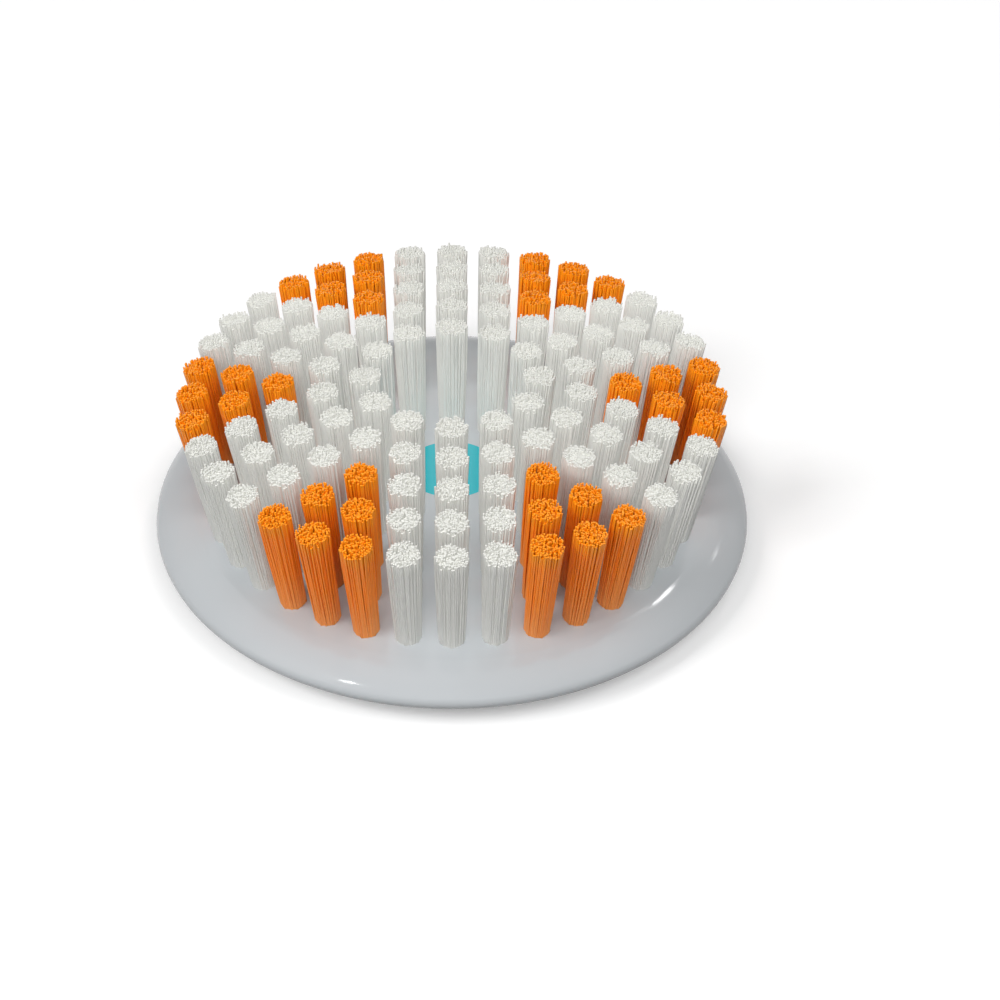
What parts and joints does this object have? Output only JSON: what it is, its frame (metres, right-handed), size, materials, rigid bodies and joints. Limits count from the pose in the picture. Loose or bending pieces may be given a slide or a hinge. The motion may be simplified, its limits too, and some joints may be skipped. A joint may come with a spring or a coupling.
{
  "type": "facial cleansing brush head",
  "caption": "Round brush head: a domed white plate filled with rings of translucent white and orange nylon tufts, with a keyed drive socket in the hub behind it.",
  "frame": {"origin": "centre of the hub's end face, the lowest point of the part", "axes": "+Z along the spin axis towards the bristles, -Y towards the front spoke of white tufts"},
  "size_m": [0.056, 0.056, 0.0181],
  "materials": {
    "white_plastic": "glossy moulded",
    "white_nylon": "translucent filament",
    "orange_nylon": "dyed filament",
    "anchor_wire": "drawn flat wire"
  },
  "bodies": {
    "root": {"brush_plate": "white_plastic", "white_tufts_1": "white_nylon", "white_tufts_2": "white_nylon", "white_tufts_3": "white_nylon", "white_tufts_4": "white_nylon", "white_tufts_5": "white_nylon", "white_tufts_6": "white_nylon", "orange_tufts_1": "orange_nylon", "orange_tufts_2": "orange_nylon", "orange_tufts_3": "orange_nylon", "orange_tufts_4": "orange_nylon", "orange_tufts_5": "orange_nylon", "orange_tufts_6": "orange_nylon", "tuft_anchors": "anchor_wire"}
  },
  "joints": []
}
